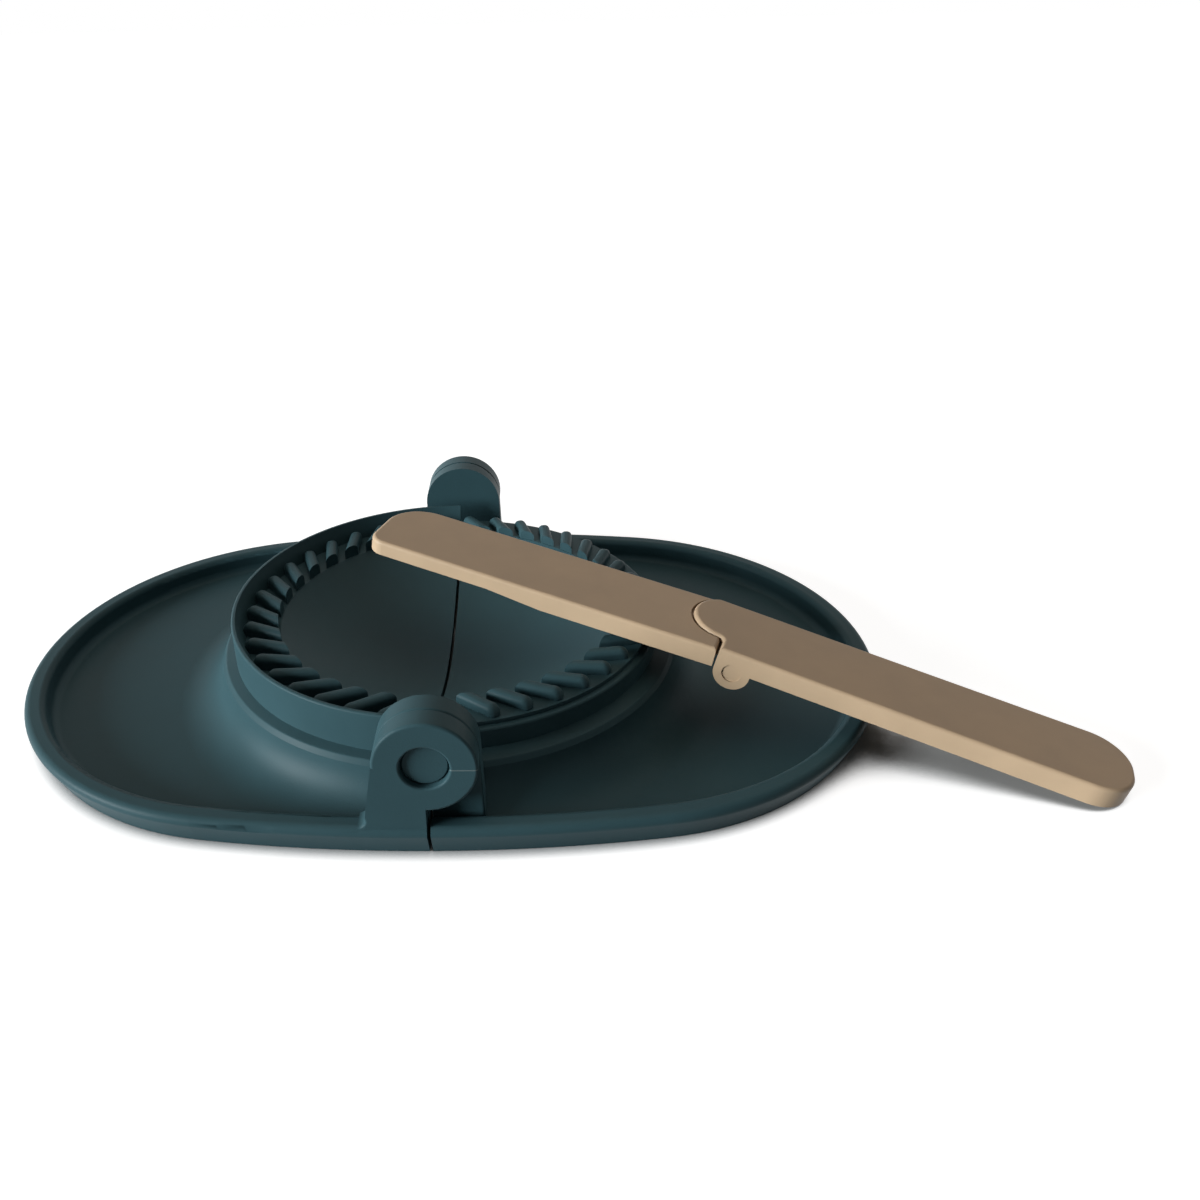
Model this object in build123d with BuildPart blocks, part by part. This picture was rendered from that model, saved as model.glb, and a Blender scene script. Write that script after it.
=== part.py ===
from build123d import *
import os
from math import cos, hypot, radians, sin, sqrt

# Folding dough press: an oval tray cut in two across its middle, with half a crimping
# ring on each half, hinged at the front and the rear. A two-armed folding spatula
# lies across it. Millimetres; X runs across the wings, Y along the hinge axis, Z up,
# with the origin on the table under the middle of the hinge.

os.makedirs("parts", exist_ok=True)

# Tray
tray_length = 201.0
tray_width = 131.2
tray_side_rise = 2.9
tray_draft = 3.3
rim_height = 7.4
rim_width = 5.4
rim_round = 1.5
rim_inner_draft = 0.8
floor_thickness = 2.4
floor_round = 2.0
seam_gap = 0.7

# Ring and bowl
wall = 2.2
bowl_floor = 7.6
bowl_edge_radius = 39.5
bowl_edge_height = 18.3
lip_radius = 50.0
lip_wall = 0.9
lip_wall_foot = 2.8
lip_height = 22.9
shoulder_radius = 48.8
shoulder_height = 18.4
shoulder_width = 1.5
ledge_radius = 52.3
ledge_height = 13.5
ledge_skirt = 1.2
flare_start = 53.0
flare_radius = 11.0
hollow_radius = 59.0
edge_round = 0.5

# Crimping teeth
tooth_pitch_left = 9.35
tooth_count_left = 18
tooth_first_left = 7.3
tooth_pitch_right = 9.0
tooth_count_right = 19
tooth_first_right = 10.4
tooth_skew = 42.0
tooth_width = 2.9
tooth_round = 1.2
tooth_nose = 1.9
tooth_inner_radius = 39.65
tooth_outer_left = 47.0
tooth_outer_right = 46.0
valley_left = 18.2
tooth_top_left = 21.2
valley_right = 19.3
tooth_top_right = 21.6
tooth_root = 1.0

# Hinge
hinge_height = 21.5
ear_radius = 10.05
ear_thickness = 4.75
ear_setback = 1.5
ear_gap = 0.2
ear_clearance = 0.4
ear_edge_round = 0.6
stem_foot_outer = 12.2
stem_foot_inner = 10.7
foot_round = 1.6
pin_radius = 4.65
running_clearance = 0.06
pin_recess = 1.3
pin_socket_floor = 1.2
pin_chamfer = 0.4

# Spatula, laid across the ring with the end of its handle on the table
arm_width = 19.6
blade_width = 20.0
arm_thickness = 4.7
handle_reach = 82.7
handle_corner = 8.7
blade_reach = 86.7
blade_thickness = 4.5
blade_thinning = 1.1
blade_step_start = 44.0
blade_step_end = 57.0
blade_far_corner = 9.5
blade_near_corner = 3.6
knuckle_radius = 3.95
knuckle_drop = 5.2
blade_top_drop = 0.22
inner_knuckle_radius = 3.3
fork_gap = 10.8
knuckle_side_clearance = 0.25
slot_clearance = 0.4
end_gap = 0.4
tongue_radius = 7.8
tongue_offset = 2.75
tongue_thickness = 1.1
tongue_set = 0.5
tongue_fillet = 1.5
tongue_clearance = 0.35
tongue_seat = 0.2
tongue_strip = 2.0
top_edge_round = 0.8
spatula_pin_radius = 2.1
spatula_pin_recess = 0.3
spatula_heading = -19.17
handle_slope = -12.87
blade_slope = -9.92
knuckle_place = (65.35, -18.4, 17.95)

# The bowl is part of a ball: its radius follows from its depth and its edge
bowl_depth = bowl_edge_height - bowl_floor
ball_radius = (bowl_edge_radius**2 + bowl_depth**2) / (2 * bowl_depth)
ball_centre = bowl_floor + ball_radius

# The tray's ends are a little narrower than its middle, and the ears follow its sides
tray_end_radius = tray_width / 2 - tray_side_rise
ear_outer_face = tray_width / 2 - ear_setback

half_seam = seam_gap / 2
front_and_rear = (1, -1)


def bowl_radius_at(height, offset=0.0):
    """Radius of the ball, grown by offset, at a height."""
    return sqrt((ball_radius + offset) ** 2 - (ball_centre - height) ** 2)


def bowl_height_at(radius, offset=0.0):
    """Height of the ball's lower surface, grown by offset, at a radius."""
    return ball_centre - sqrt((ball_radius + offset) ** 2 - radius**2)


def oval(inset):
    """Face of the tray's outline: two long side arcs and two end arcs, all tangent."""
    half_length = tray_length / 2 - inset
    half_width = tray_width / 2 - inset
    end_radius = tray_end_radius - inset
    end_centre = half_length - end_radius
    side_radius = (end_centre**2 + half_width**2 - end_radius**2) / (
        2 * (half_width - end_radius)
    )
    side_centre = side_radius - half_width
    turn = Vector(end_centre, side_centre).get_angle(Vector(1, 0))
    with BuildLine(Plane.XY) as outline:
        CenterArc((0, -side_centre), side_radius, turn, 180 - 2 * turn)
        CenterArc((-end_centre, 0), end_radius, 180 - turn, 2 * turn)
        CenterArc((0, side_centre), side_radius, 180 + turn, 180 - 2 * turn)
        CenterArc((end_centre, 0), end_radius, -turn, 2 * turn)
    make_face(outline.edges())


def flare_point(radius, extra=0.0):
    """Point of the hollow arc that leads the ring's wall into the tray's floor."""
    centre_radius = flare_start + flare_radius
    centre_height = floor_thickness + flare_radius
    drop = sqrt((flare_radius + extra) ** 2 - (centre_radius - radius) ** 2)
    return (radius, centre_height - drop)


def ring_section(top_points, valley, inner_wall):
    """Closed section of the bowl, the ring and its flare, in radius and height."""
    valley_radius = top_points[0][0]
    roof = valley - wall
    roof_radius = bowl_radius_at(roof, wall)
    middle = valley_radius / 2
    flare_top = floor_thickness + flare_radius - ledge_skirt
    flare_foot = flare_start + flare_radius
    under_height = ledge_height - wall
    under_radius = flare_foot - sqrt(
        (flare_radius + wall) ** 2
        - (floor_thickness + flare_radius - under_height) ** 2
    )
    edge_height = bowl_height_at(valley_radius)
    with BuildLine(Plane.XY) as outline:
        ThreePointArc(
            (0, bowl_floor),
            (middle, bowl_height_at(middle)),
            (valley_radius, edge_height),
        )
        outer = [(valley_radius, edge_height)] + top_points
        outer += [(ledge_radius, ledge_height), flare_point(flare_start + 0.05)]
        Polyline(*outer)
        ThreePointArc(
            flare_point(flare_start + 0.05),
            flare_point(flare_start + 0.293 * flare_radius),
            (flare_foot, floor_thickness),
        )
        Polyline(
            (flare_foot, floor_thickness),
            (flare_foot, 0),
            (hollow_radius, 0),
            flare_point(hollow_radius, wall),
        )
        ThreePointArc(
            flare_point(hollow_radius, wall),
            flare_point((hollow_radius + under_radius) / 2, wall),
            (under_radius, under_height),
        )
        Polyline(
            (under_radius, under_height),
            (inner_wall, under_height),
            (inner_wall, roof),
            (roof_radius, roof),
        )
        ThreePointArc(
            (roof_radius, roof),
            (roof_radius / 2, bowl_height_at(roof_radius / 2, wall)),
            (0, bowl_floor - wall),
        )
        Line((0, bowl_floor - wall), (0, bowl_floor))
    make_face(outline.edges())


def ear(side, outer_face, bore, bore_floor, stem_foot, foot_height):
    """One hinge ear: a round head over a stem that widens to a foot on one side."""
    foot = stem_foot + foot_round
    bend = foot_round * (1 - cos(radians(45)))
    inner_face = Plane.XZ.offset(outer_face - ear_thickness)
    with BuildPart() as stem:
        with BuildSketch(inner_face):
            with BuildLine() as outline:
                Polyline(
                    (side * foot, foot_height),
                    (side * foot, 0),
                    (side * half_seam, 0),
                    (side * half_seam, hinge_height),
                    (side * ear_radius, hinge_height),
                    (side * stem_foot, foot_height + foot_round),
                )
                ThreePointArc(
                    (side * stem_foot, foot_height + foot_round),
                    (side * (stem_foot + bend), foot_height + bend),
                    (side * foot, foot_height),
                )
            make_face()
        extrude(amount=ear_thickness)
    with BuildPart() as head:
        with BuildSketch(inner_face):
            with Locations((0, hinge_height)):
                Circle(ear_radius)
        extrude(amount=ear_thickness)
        fillet(head.edges().group_by(Axis.Y)[0], ear_edge_round)
        add(stem)
        with BuildSketch(inner_face.offset(bore_floor)):
            with Locations((0, hinge_height)):
                Circle(bore)
        extrude(amount=ear_thickness, mode=Mode.SUBTRACT)
        mouth = head.edges().filter_by(GeomType.CIRCLE).group_by(Axis.Y)[0]
        fillet(mouth.filter_by(lambda edge: edge.radius < bore + 0.01), edge_round)
    return head.part


def tooth(length, valley, top):
    """One bar along X: a level crest that rounds over to the valley at its outer end."""
    foot = valley - tooth_root
    bend = tooth_nose * (1 - cos(radians(45)))
    with BuildPart() as bar:
        with BuildSketch(Plane.XZ.offset(-tooth_width / 2)):
            with BuildLine():
                Polyline(
                    (length / 2, top - tooth_nose),
                    (length / 2, foot),
                    (-length / 2, foot),
                    (-length / 2, top),
                    (length / 2 - tooth_nose, top),
                )
                ThreePointArc(
                    (length / 2 - tooth_nose, top),
                    (length / 2 - bend, top - bend),
                    (length / 2, top - tooth_nose),
                )
            make_face()
        extrude(amount=tooth_width)
        sides = bar.faces().filter_by(Axis.Y).edges()
        crest = sides.filter_by(lambda edge: edge.center().Z > top - tooth_nose)
        fillet(crest, tooth_round)
    return bar.part


def teeth(first, pitch, count, side, valley, top, outer):
    """Crimping teeth of one half: skewed bars whose inner ends follow the bowl's edge."""
    centre_radius = (tooth_inner_radius + outer) / 2
    reach = (outer - tooth_inner_radius) / cos(radians(tooth_skew))
    bar = tooth(reach + 2 * tooth_width, valley, top)
    with BuildPart() as bars:
        for index in range(int(count)):
            turn = -90 + side * (first + index * pitch)
            middle = centre_radius - tooth_width * cos(radians(tooth_skew))
            x = middle * cos(radians(turn))
            y = middle * sin(radians(turn))
            with Locations(Location((x, y, 0), (0, 0, turn + side * tooth_skew))):
                add(bar)
        with BuildSketch(Plane.XY.offset(valley - tooth_root)):
            Circle(outer + tooth_width)
            Circle(tooth_inner_radius, mode=Mode.SUBTRACT)
        extrude(amount=top, mode=Mode.INTERSECT)
    return bars.part


# The whole oval dish, before it is cut in two
with BuildPart() as tray:
    with BuildSketch():
        oval(tray_draft)
    with BuildSketch(Plane.XY.offset(rim_height)):
        oval(0)
    loft(ruled=True)
    with BuildSketch(Plane.XY.offset(floor_thickness)):
        oval(rim_width + rim_inner_draft)
    with BuildSketch(Plane.XY.offset(rim_height)):
        oval(rim_width)
    loft(ruled=True, mode=Mode.SUBTRACT)
    rim_edges = tray.faces().filter_by(Axis.Z).sort_by(Axis.Z)[-1].edges()
    fillet(rim_edges, rim_round)
    floor_face = tray.faces().filter_by(Axis.Z).sort_by(Axis.Z)[1]
    fillet(floor_face.edges(), floor_round)
    with BuildSketch():
        Circle(hollow_radius)
    extrude(amount=rim_height, mode=Mode.SUBTRACT)

# The space that one half may fill: the ring's foot and the ears end at the outer wall
with BuildPart() as tray_envelope:
    with BuildSketch():
        oval(tray_draft)
    with BuildSketch(Plane.XY.offset(rim_height)):
        oval(0)
    loft(ruled=True)
    with BuildSketch(Plane.XY.offset(rim_height)):
        oval(0)
    extrude(amount=hinge_height + ear_radius)

left_valley_radius = bowl_radius_at(valley_left)
left_top = [
    (left_valley_radius, valley_left),
    (lip_radius - lip_wall_foot, valley_left),
    (lip_radius - lip_wall, lip_height),
    (lip_radius, lip_height),
    (lip_radius, ledge_height + edge_round),
]
right_band = shoulder_radius - shoulder_width
right_top = [
    (bowl_edge_radius, valley_right),
    (right_band, valley_right),
    (right_band, shoulder_height),
    (shoulder_radius, shoulder_height),
    (shoulder_radius, ledge_height + edge_round),
]


def round_corners(section, corners):
    """Rounds the named outer corners of a ring section."""
    near = [
        vertex
        for vertex in section.vertices()
        if any(hypot(vertex.X - r, vertex.Y - z) < 0.01 for r, z in corners)
    ]
    fillet(near, edge_round)


# Left half: the raised lip, the sunken teeth and the outer hinge ears
left_teeth = teeth(
    tooth_first_left,
    tooth_pitch_left,
    tooth_count_left,
    -1,
    valley_left,
    tooth_top_left,
    tooth_outer_left,
)
outer_bore = pin_radius + running_clearance
outer_ear = ear(-1, ear_outer_face, outer_bore, 0, stem_foot_outer, rim_height)
with BuildPart() as left_half:
    add(tray)
    with BuildSketch(Plane.XZ) as left_section:
        ring_section(left_top, valley_left, lip_radius - wall)
        round_corners(left_section, [(lip_radius, lip_height), (ledge_radius, ledge_height)])
    revolve(axis=Axis.Z)
    add(left_teeth)
    for way in front_and_rear:
        with BuildSketch(Plane.XZ.offset(way * (ear_outer_face - ear_thickness))):
            with Locations((0, hinge_height)):
                Circle(ear_radius + ear_clearance)
        extrude(amount=-way * (ear_thickness + 2 * ear_gap), mode=Mode.SUBTRACT)
    split(bisect_by=Plane.YZ.offset(-half_seam), keep=Keep.BOTTOM)
    add(outer_ear)
    add(mirror(outer_ear, about=Plane.XZ))
    add(tray_envelope, mode=Mode.INTERSECT)
left_half.part.label = "left_half"

# Right half: the proud teeth, the stepped shoulder and the inner hinge ears
right_teeth = teeth(
    tooth_first_right,
    tooth_pitch_right,
    tooth_count_right,
    1,
    valley_right,
    tooth_top_right,
    tooth_outer_right,
)
inner_outer_face = ear_outer_face - ear_thickness - ear_gap
inner_ear = ear(
    1, inner_outer_face, pin_radius, pin_socket_floor, stem_foot_inner, floor_thickness
)
with BuildPart() as right_half:
    add(tray)
    with BuildSketch(Plane.XZ) as right_section:
        ring_section(right_top, valley_right, shoulder_radius - wall)
        round_corners(
            right_section, [(shoulder_radius, shoulder_height), (ledge_radius, ledge_height)]
        )
    revolve(axis=Axis.Z)
    add(tray_envelope, mode=Mode.INTERSECT)
    add(right_teeth)
    split(bisect_by=Plane.YZ.offset(half_seam), keep=Keep.TOP)
    add(inner_ear)
    add(mirror(inner_ear, about=Plane.XZ))
right_half.part.label = "right_half"


# Hinge pins: pressed into sockets in the inner ears, turning in the outer ears
def hinge_pin(way):
    """A plain pin from the inner ear's socket to just inside the outer ear's face."""
    outer_end = ear_outer_face - pin_recess
    inner_end = inner_outer_face - ear_thickness + pin_socket_floor
    with BuildPart() as pin:
        with BuildSketch(Plane.XZ.offset(way * outer_end)):
            with Locations((0, hinge_height)):
                Circle(pin_radius)
        extrude(amount=-way * (outer_end - inner_end))
        chamfer(pin.edges(), pin_chamfer)
    return pin.part


front_hinge_pin = hinge_pin(1)
front_hinge_pin.label = "front_hinge_pin"
rear_hinge_pin = hinge_pin(-1)
rear_hinge_pin.label = "rear_hinge_pin"


# Spatula planes: x runs along each arm towards the handle's end, y to the rear, and
# the origin is on the knuckle's axis
def arm_plane(slope):
    """Plane through the knuckle's axis, sloping down along the spatula's heading."""
    heading = radians(spatula_heading)
    tilt = radians(slope)
    along = (cos(tilt) * cos(heading), cos(tilt) * sin(heading), sin(tilt))
    up = (-sin(tilt) * cos(heading), -sin(tilt) * sin(heading), cos(tilt))
    return Plane(origin=knuckle_place, x_dir=along, z_dir=up)


handle_plane = arm_plane(handle_slope)
blade_plane = arm_plane(blade_slope)
handle_side = Plane(handle_plane.origin, x_dir=handle_plane.x_dir, z_dir=-handle_plane.y_dir)
blade_side = Plane(blade_plane.origin, x_dir=blade_plane.x_dir, z_dir=-blade_plane.y_dir)
arm_half = arm_width / 2
handle_top = knuckle_drop
handle_bottom = knuckle_drop - arm_thickness
handle_end = -knuckle_radius
blade_top = knuckle_drop - blade_top_drop
blade_bottom = blade_top - blade_thickness
tongue_bottom = handle_top - tongue_thickness


def tongue_outline(sketch):
    """The handle's rounded tongue with a strip of the handle that it grows from."""
    with Locations((handle_end - tongue_set, tongue_offset)):
        Circle(tongue_radius)
    with Locations((handle_end, 0)):
        Rectangle(4 * tongue_radius, arm_width, mode=Mode.INTERSECT)
    with Locations((handle_end + tongue_radius, 0)):
        Rectangle(2 * tongue_radius, 2 * arm_width, mode=Mode.SUBTRACT)
    with Locations((handle_end + tongue_strip / 2, 0)):
        Rectangle(tongue_strip, arm_width)
    root = sketch.vertices().filter_by(lambda corner: abs(corner.X - handle_end) < 0.01)
    fillet(root.sort_by(Axis.Y)[1:2], tongue_fillet)


with BuildPart() as spatula_handle:
    with BuildSketch(handle_plane.offset(handle_bottom)) as handle_outline:
        with Locations(((handle_end + handle_reach) / 2, 0)):
            Rectangle(handle_reach - handle_end, arm_width)
        far_corners = handle_outline.vertices().group_by(Axis.X)[-1]
        fillet(far_corners, handle_corner)
    extrude(amount=arm_thickness)
    with BuildSketch(handle_plane.offset(tongue_bottom)) as tongue:
        tongue_outline(tongue)
    extrude(amount=tongue_thickness)
    up = Axis(handle_plane.origin, handle_plane.z_dir)
    fillet(spatula_handle.faces().sort_by(up)[-1].edges(), top_edge_round)
    with BuildSketch(handle_side.offset(-arm_half)):
        Circle(knuckle_radius)
        with Locations((0, knuckle_radius / 2 + handle_bottom)):
            Rectangle(2 * knuckle_radius, knuckle_radius, mode=Mode.SUBTRACT)
        with Locations((0, (handle_bottom + 0.3) / 2)):
            Rectangle(2 * knuckle_radius, handle_bottom + 0.3)
    extrude(amount=arm_width)
    slot_right = inner_knuckle_radius + slot_clearance
    slot_top = inner_knuckle_radius + slot_clearance
    with BuildSketch(handle_side.offset(-fork_gap / 2)):
        with Locations(((slot_right - 3 * knuckle_radius) / 2, slot_top / 2 - knuckle_radius)):
            Rectangle(slot_right + 3 * knuckle_radius, slot_top + 2 * knuckle_radius)
        with Locations((handle_end - tongue_radius, 0)):
            Rectangle(2 * tongue_radius, 4 * knuckle_radius, mode=Mode.SUBTRACT)
    extrude(amount=fork_gap, mode=Mode.SUBTRACT)
    with BuildSketch(handle_side.offset(-arm_half)):
        Circle(spatula_pin_radius)
    extrude(amount=arm_width, mode=Mode.SUBTRACT)
spatula_handle.part.label = "spatula_handle"

blade_end = handle_end - end_gap
with BuildPart() as spatula_blade:
    with BuildSketch(blade_plane.offset(blade_bottom)) as blade_outline:
        with Locations(((blade_end - blade_reach) / 2, 0)):
            Rectangle(blade_reach + blade_end, blade_width)
        tip_corners = blade_outline.vertices().group_by(Axis.X)[0].sort_by(Axis.Y)
        fillet(tip_corners[-1:], blade_far_corner)
        tip_corners = blade_outline.vertices().group_by(Axis.X)[0].sort_by(Axis.Y)
        fillet(tip_corners[:1], blade_near_corner)
    extrude(amount=blade_thickness)
    with BuildSketch(blade_side.offset(-blade_width)):
        with BuildLine():
            Polyline(
                (-blade_step_start, blade_bottom),
                (-blade_step_end, blade_bottom + blade_thinning),
                (-2 * blade_reach, blade_bottom + blade_thinning),
                (-2 * blade_reach, blade_bottom - blade_thinning),
                (-blade_step_start, blade_bottom - blade_thinning),
                close=True,
            )
        make_face()
    extrude(amount=2 * blade_width, mode=Mode.SUBTRACT)
    up = Axis(blade_plane.origin, blade_plane.z_dir)
    fillet(spatula_blade.faces().sort_by(up)[-1].edges(), top_edge_round)
    with BuildSketch(blade_plane.offset(tongue_bottom - tongue_seat)) as pocket:
        tongue_outline(pocket)
        offset(amount=tongue_clearance)
    extrude(amount=2 * tongue_thickness, mode=Mode.SUBTRACT)
    knuckle_half = fork_gap / 2 - knuckle_side_clearance
    with BuildSketch(blade_side.offset(-knuckle_half)):
        Circle(inner_knuckle_radius)
        arm_back = blade_end - wall
        arm_middle = (blade_bottom + inner_knuckle_radius) / 2
        with Locations((arm_back / 2, arm_middle)):
            Rectangle(-arm_back, inner_knuckle_radius - blade_bottom)
    extrude(amount=2 * knuckle_half)
    with BuildSketch(blade_side.offset(-arm_half)):
        Circle(spatula_pin_radius + running_clearance)
    extrude(amount=arm_width, mode=Mode.SUBTRACT)
spatula_blade.part.label = "spatula_blade"

with BuildPart() as spatula_pin:
    with BuildSketch(handle_side.offset(-arm_half + spatula_pin_recess)):
        Circle(spatula_pin_radius)
    extrude(amount=arm_width - 2 * spatula_pin_recess)
spatula_pin.part.label = "spatula_pin"

export_step(left_half.part, "parts/left_half.step")
export_step(right_half.part, "parts/right_half.step")
export_step(front_hinge_pin, "parts/front_hinge_pin.step")
export_step(rear_hinge_pin, "parts/rear_hinge_pin.step")
export_step(spatula_handle.part, "parts/spatula_handle.step")
export_step(spatula_blade.part, "parts/spatula_blade.step")
export_step(spatula_pin.part, "parts/spatula_pin.step")
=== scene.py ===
from math import radians

import bpy
from mathutils import Matrix

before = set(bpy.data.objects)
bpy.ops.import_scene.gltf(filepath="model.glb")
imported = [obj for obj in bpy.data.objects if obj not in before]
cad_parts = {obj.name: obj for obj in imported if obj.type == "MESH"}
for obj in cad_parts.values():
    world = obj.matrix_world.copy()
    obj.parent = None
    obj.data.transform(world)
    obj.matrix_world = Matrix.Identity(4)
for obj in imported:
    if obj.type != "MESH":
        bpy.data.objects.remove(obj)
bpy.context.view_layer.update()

# The photograph's viewpoint, in metres and degrees, and its frame of 1200 pixels
PHOTO_PIXELS = 1200
FOCAL_PIXELS = 1112.4
CENTRE_PIXEL = (520.4, 594.5)
CAMERA_PLACE = (0.0232, -0.22734, 0.14953)
CAMERA_YAW = 1.61
CAMERA_PITCH = 60.8
CAMERA_ROLL = -1.39
SENSOR_WIDTH = 36.0
NEAREST_SEEN = 0.01

# Light: a low wide window to the left and a weak warm ceiling, each as azimuth,
# elevation, strength, colour and spread, with the angles in degrees
WINDOW_LIGHT = (203, 7, 8.2, (0.92, 0.98, 1.0), 36)
CEILING_LIGHT = (90, 78, 0.56, (1.0, 0.85, 0.70), 60)
ROOM_LEVEL = 0.07
ROOM_COLOUR = (0.92, 0.97, 1.0)

# Floor: half its side and its depth below the table plane in metres, the share of the
# lamps' light that the camera sees on it, which a shadow takes away, the share that it
# throws back on the object, and its own glow to the camera
FLOOR_HALF = 4.0
FLOOR_DROP = 0.0002
FLOOR_SHADE = 0.42
FLOOR_BOUNCE = 0.2
FLOOR_GLOW = 0.88
# Painted shade on the floor: its glow fades to nothing as the open share of the sky over a spot
# falls from the open level to the shut level below, counting only what stands within this reach
# in metres
PAINTED_SHADE_REACH = 0.03
PAINTED_SHADE_SAMPLES = 16
PAINTED_SHADE_OPEN = 0.55
PAINTED_SHADE_SHUT = 0.3

# Finishes: slate teal press and beige spatula. Grain and mottle are noise scales per
# metre, and a grain's depth is in metres
PRESS_COLOUR = (0.030, 0.066, 0.077)
PRESS_ROUGHNESS = 0.44
PRESS_SHEEN = 0.08
PRESS_DRIFT = 0.04
PRESS_GRAIN = 2600.0
PRESS_GRAIN_DEPTH = 0.00008
SPATULA_COLOUR = (0.44, 0.315, 0.205)
SPATULA_ROUGHNESS = 0.45
SPATULA_SHEEN = 0.25
SPATULA_DRIFT = 0.05
SPATULA_GRAIN = 2200.0
SPATULA_GRAIN_DEPTH = 0.00006
PLASTIC_IOR = 1.48
SHEEN_SPREAD = 0.05
MOTTLE_SCALE = 90.0
MOTTLE_DETAIL = 4.0
MOTTLE_LOW = 0.3
MOTTLE_HIGH = 0.7
GRAIN_DETAIL = 2.0
GRAIN_STRENGTH = 0.25

# Flow line of the front ear: level, from the bore to the ear's right edge, in metres
KNIT_HEIGHT = 0.0211
KNIT_HALF_WIDTH = 0.00013
KNIT_START = 0.0047
KNIT_FRONT = -0.0636
KNIT_SHARE = 0.55
KNIT_COLOUR = (0.16, 0.20, 0.20)


def add_camera():
    """Camera at the photograph's place: turned about Z, tipped about X, rolled about its view."""
    data = bpy.data.cameras.new("camera")
    data.sensor_width = SENSOR_WIDTH
    data.lens = FOCAL_PIXELS / PHOTO_PIXELS * SENSOR_WIDTH
    data.shift_x = 0.5 - CENTRE_PIXEL[0] / PHOTO_PIXELS
    data.shift_y = CENTRE_PIXEL[1] / PHOTO_PIXELS - 0.5
    data.clip_start = NEAREST_SEEN
    camera = bpy.data.objects.new("camera", data)
    bpy.context.collection.objects.link(camera)
    camera.matrix_world = (
        Matrix.Translation(CAMERA_PLACE)
        @ Matrix.Rotation(radians(CAMERA_YAW), 4, "Z")
        @ Matrix.Rotation(radians(CAMERA_PITCH), 4, "X")
        @ Matrix.Rotation(radians(CAMERA_ROLL), 4, "Z")
    )
    bpy.context.scene.camera = camera


def add_sun(name, azimuth, elevation, strength, colour, spread):
    """Soft sun that shines from an azimuth, 0 being +X and 90 the rear, and an elevation."""
    data = bpy.data.lights.new(name, "SUN")
    data.energy = strength
    data.color = colour
    data.angle = radians(spread)
    sun = bpy.data.objects.new(name, data)
    bpy.context.collection.objects.link(sun)
    sun.rotation_euler = (0, radians(90 - elevation), radians(azimuth))


def combine(tree, operation, value, other, margin=None):
    """Math node on a socket and a second socket or number; margin is COMPARE's third value."""
    node = tree.nodes.new("ShaderNodeMath")
    node.operation = operation
    tree.links.new(value, node.inputs[0])
    if isinstance(other, (int, float)):
        node.inputs[1].default_value = other
    else:
        tree.links.new(other, node.inputs[1])
    if margin is not None:
        node.inputs[2].default_value = margin
    return node.outputs[0]


def background_seen(tree):
    """1 for rays from the camera and for rays that metal, gloss or glass send on, else 0."""
    path = tree.nodes.new("ShaderNodeLightPath")
    seen = combine(
        tree, "MAXIMUM", path.outputs["Is Camera Ray"], path.outputs["Is Glossy Ray"]
    )
    return combine(tree, "MAXIMUM", seen, path.outputs["Is Transmission Ray"])


def add_room():
    """Even dim light from all round, which the camera and reflections see as white."""
    world = bpy.data.worlds.new("studio")
    bpy.context.scene.world = world
    world.use_nodes = True
    tree = world.node_tree
    tree.nodes.clear()
    out = tree.nodes.new("ShaderNodeOutputWorld")
    mix = tree.nodes.new("ShaderNodeMixShader")
    dim = tree.nodes.new("ShaderNodeBackground")
    white = tree.nodes.new("ShaderNodeBackground")
    dim.inputs["Color"].default_value = (*ROOM_COLOUR, 1)
    dim.inputs["Strength"].default_value = ROOM_LEVEL
    white.inputs["Color"].default_value = (1, 1, 1, 1)
    tree.links.new(background_seen(tree), mix.inputs["Fac"])
    tree.links.new(dim.outputs[0], mix.inputs[1])
    tree.links.new(white.outputs[0], mix.inputs[2])
    tree.links.new(mix.outputs[0], out.inputs["Surface"])


def pale_floor():
    """Floor's finish: glows white to the camera, with painted shade that takes the glow away in
    its narrow gaps with the object.
    """
    material = bpy.data.materials.new("pale_floor")
    material.use_nodes = True
    tree = material.node_tree
    tree.nodes.clear()
    out = tree.nodes.new("ShaderNodeOutputMaterial")
    shade = tree.nodes.new("ShaderNodeBsdfDiffuse")
    bounce = tree.nodes.new("ShaderNodeBsdfDiffuse")
    glow = tree.nodes.new("ShaderNodeEmission")
    lit = tree.nodes.new("ShaderNodeAddShader")
    mix = tree.nodes.new("ShaderNodeMixShader")
    # Painted shade: ambient occlusion dims the floor's glow under the object and in the gaps
    # between its parts
    open_sky = tree.nodes.new("ShaderNodeAmbientOcclusion")
    level = tree.nodes.new("ShaderNodeMapRange")
    shade.inputs["Color"].default_value = (FLOOR_SHADE, FLOOR_SHADE, FLOOR_SHADE, 1)
    bounce.inputs["Color"].default_value = (FLOOR_BOUNCE, FLOOR_BOUNCE, FLOOR_BOUNCE, 1)
    open_sky.inputs["Distance"].default_value = PAINTED_SHADE_REACH
    open_sky.samples = PAINTED_SHADE_SAMPLES
    level.inputs["From Min"].default_value = PAINTED_SHADE_SHUT
    level.inputs["From Max"].default_value = PAINTED_SHADE_OPEN
    level.inputs["To Max"].default_value = FLOOR_GLOW
    tree.links.new(open_sky.outputs["AO"], level.inputs["Value"])
    tree.links.new(level.outputs["Result"], glow.inputs["Strength"])
    tree.links.new(shade.outputs[0], lit.inputs[0])
    tree.links.new(glow.outputs[0], lit.inputs[1])
    tree.links.new(background_seen(tree), mix.inputs["Fac"])
    tree.links.new(bounce.outputs[0], mix.inputs[1])
    tree.links.new(lit.outputs[0], mix.inputs[2])
    tree.links.new(mix.outputs[0], out.inputs["Surface"])
    return material


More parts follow.
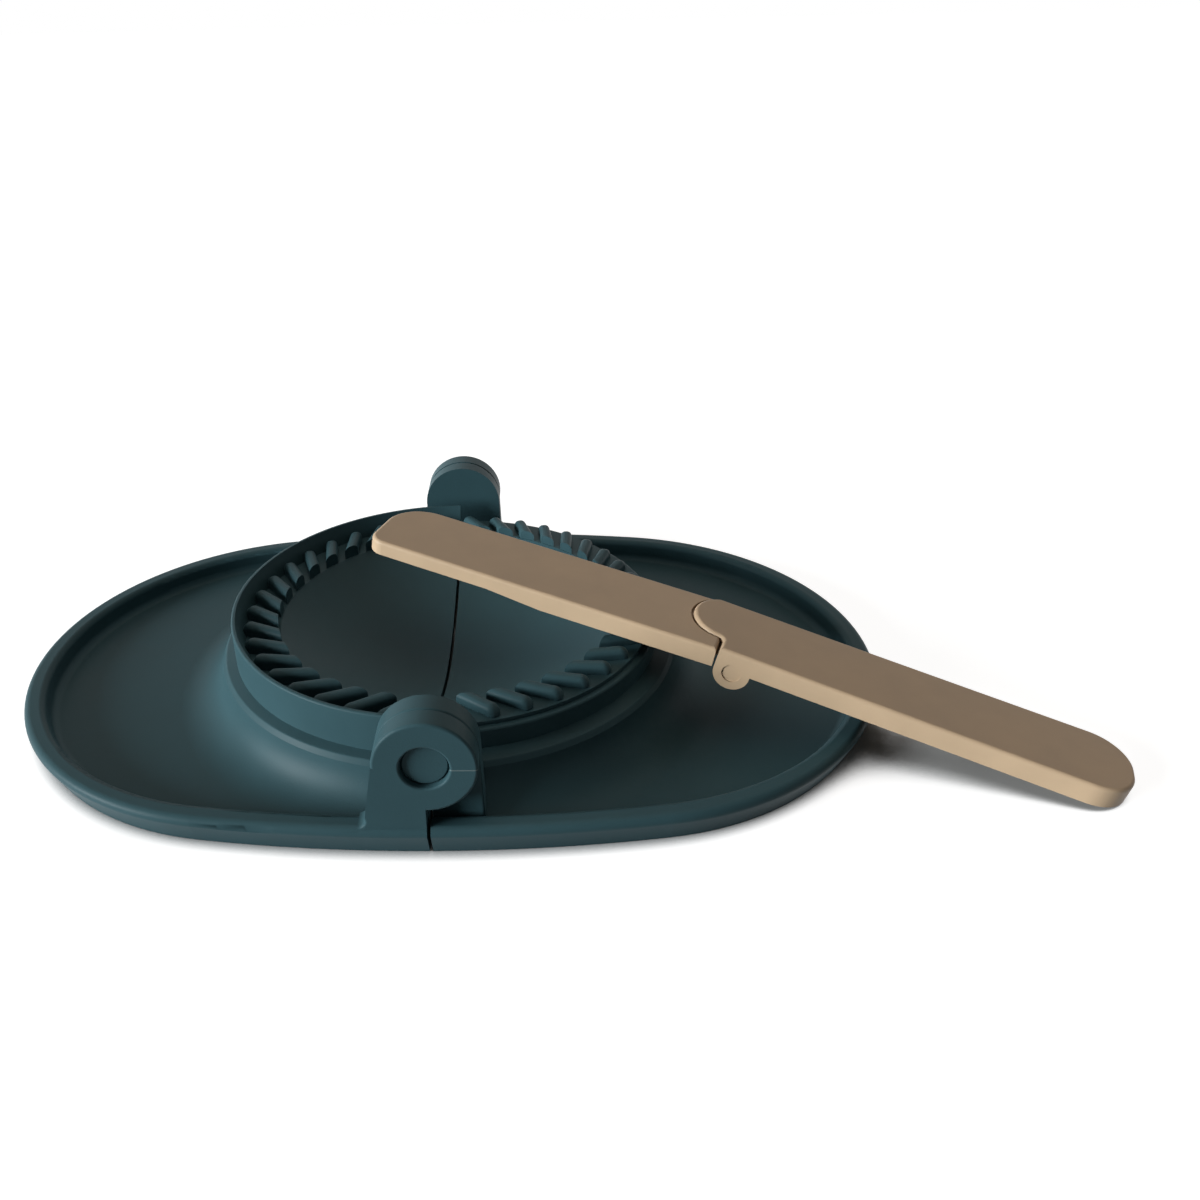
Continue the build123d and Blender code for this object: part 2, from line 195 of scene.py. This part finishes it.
def add_floor():
    """Square of four corners, half a side out each way, just under the table plane."""
    mesh = bpy.data.meshes.new("floor")
    corners = [(-1, -1), (1, -1), (1, 1), (-1, 1)]
    points = [(x * FLOOR_HALF, y * FLOOR_HALF, -FLOOR_DROP) for x, y in corners]
    mesh.from_pydata(points, [], [(0, 1, 2, 3)])
    mesh.materials.append(pale_floor())
    floor = bpy.data.objects.new("floor", mesh)
    bpy.context.collection.objects.link(floor)


def moulded_plastic(name, colour, roughness, sheen, drift, grain_scale, grain_depth):
    """Satin moulded plastic: a slight drift of shade, uneven sheen and a spark-eroded grain."""
    material = bpy.data.materials.new(name)
    material.use_nodes = True
    tree = material.node_tree
    shader = tree.nodes["Principled BSDF"]
    where = tree.nodes.new("ShaderNodeTexCoord")
    mottle = tree.nodes.new("ShaderNodeTexNoise")
    mottle.inputs["Scale"].default_value = MOTTLE_SCALE
    mottle.inputs["Detail"].default_value = MOTTLE_DETAIL
    shades = tree.nodes.new("ShaderNodeValToRGB")
    ends = ((MOTTLE_LOW, 1 - drift), (MOTTLE_HIGH, 1 + drift))
    for element, (position, share) in zip(shades.color_ramp.elements, ends):
        element.position = position
        element.color = (*[channel * share for channel in colour], 1)
    gloss = tree.nodes.new("ShaderNodeMapRange")
    gloss.inputs["To Min"].default_value = roughness - SHEEN_SPREAD
    gloss.inputs["To Max"].default_value = roughness + SHEEN_SPREAD
    grain = tree.nodes.new("ShaderNodeTexNoise")
    grain.inputs["Scale"].default_value = grain_scale
    grain.inputs["Detail"].default_value = GRAIN_DETAIL
    bump = tree.nodes.new("ShaderNodeBump")
    bump.inputs["Strength"].default_value = GRAIN_STRENGTH
    bump.inputs["Distance"].default_value = grain_depth
    link = tree.links.new
    link(where.outputs["Object"], mottle.inputs["Vector"])
    link(where.outputs["Object"], grain.inputs["Vector"])
    link(mottle.outputs["Fac"], shades.inputs["Fac"])
    link(mottle.outputs["Fac"], gloss.inputs["Value"])
    link(shades.outputs["Color"], shader.inputs["Base Color"])
    link(gloss.outputs["Result"], shader.inputs["Roughness"])
    link(grain.outputs["Fac"], bump.inputs["Height"])
    link(bump.outputs["Normal"], shader.inputs["Normal"])
    shader.inputs["IOR"].default_value = PLASTIC_IOR
    shader.inputs["Specular IOR Level"].default_value = sheen
    return material


def press_plastic(name):
    """The press's slate teal plastic, under a name of its own."""
    return moulded_plastic(
        name,
        PRESS_COLOUR,
        PRESS_ROUGHNESS,
        PRESS_SHEEN,
        PRESS_DRIFT,
        PRESS_GRAIN,
        PRESS_GRAIN_DEPTH,
    )


def add_knit_line(material):
    """Lightens a hairline on the front ear, where the plastic closed round the bore."""
    tree = material.node_tree
    shader = tree.nodes["Principled BSDF"]
    plain = shader.inputs["Base Color"].links[0].from_socket
    where = tree.nodes.new("ShaderNodeTexCoord")
    place = tree.nodes.new("ShaderNodeSeparateXYZ")
    tree.links.new(where.outputs["Object"], place.inputs[0])
    level = combine(tree, "COMPARE", place.outputs["Z"], KNIT_HEIGHT, KNIT_HALF_WIDTH)
    right = combine(tree, "GREATER_THAN", place.outputs["X"], KNIT_START)
    front = combine(tree, "LESS_THAN", place.outputs["Y"], KNIT_FRONT)
    line = combine(tree, "MULTIPLY", combine(tree, "MULTIPLY", level, right), front)
    mix = tree.nodes.new("ShaderNodeMix")
    mix.data_type = "RGBA"
    mix.inputs["B"].default_value = (*KNIT_COLOUR, 1)
    tree.links.new(combine(tree, "MULTIPLY", line, KNIT_SHARE), mix.inputs["Factor"])
    tree.links.new(plain, mix.inputs["A"])
    tree.links.new(mix.outputs["Result"], shader.inputs["Base Color"])


teal = press_plastic("press_plastic")
teal_with_knit_line = press_plastic("left_half_plastic")
add_knit_line(teal_with_knit_line)
beige = moulded_plastic(
    "spatula_plastic",
    SPATULA_COLOUR,
    SPATULA_ROUGHNESS,
    SPATULA_SHEEN,
    SPATULA_DRIFT,
    SPATULA_GRAIN,
    SPATULA_GRAIN_DEPTH,
)

finishes = {
    "left_half": teal_with_knit_line,
    "right_half": teal,
    "front_hinge_pin": teal,
    "rear_hinge_pin": teal,
    "spatula_handle": beige,
    "spatula_blade": beige,
    "spatula_pin": beige,
}
for node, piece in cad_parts.items():
    piece.data.materials.clear()
    piece.data.materials.append(finishes[node])

add_camera()
add_floor()
add_room()
add_sun("window", *WINDOW_LIGHT)
add_sun("ceiling", *CEILING_LIGHT)
bpy.context.scene.view_settings.view_transform = "Standard"
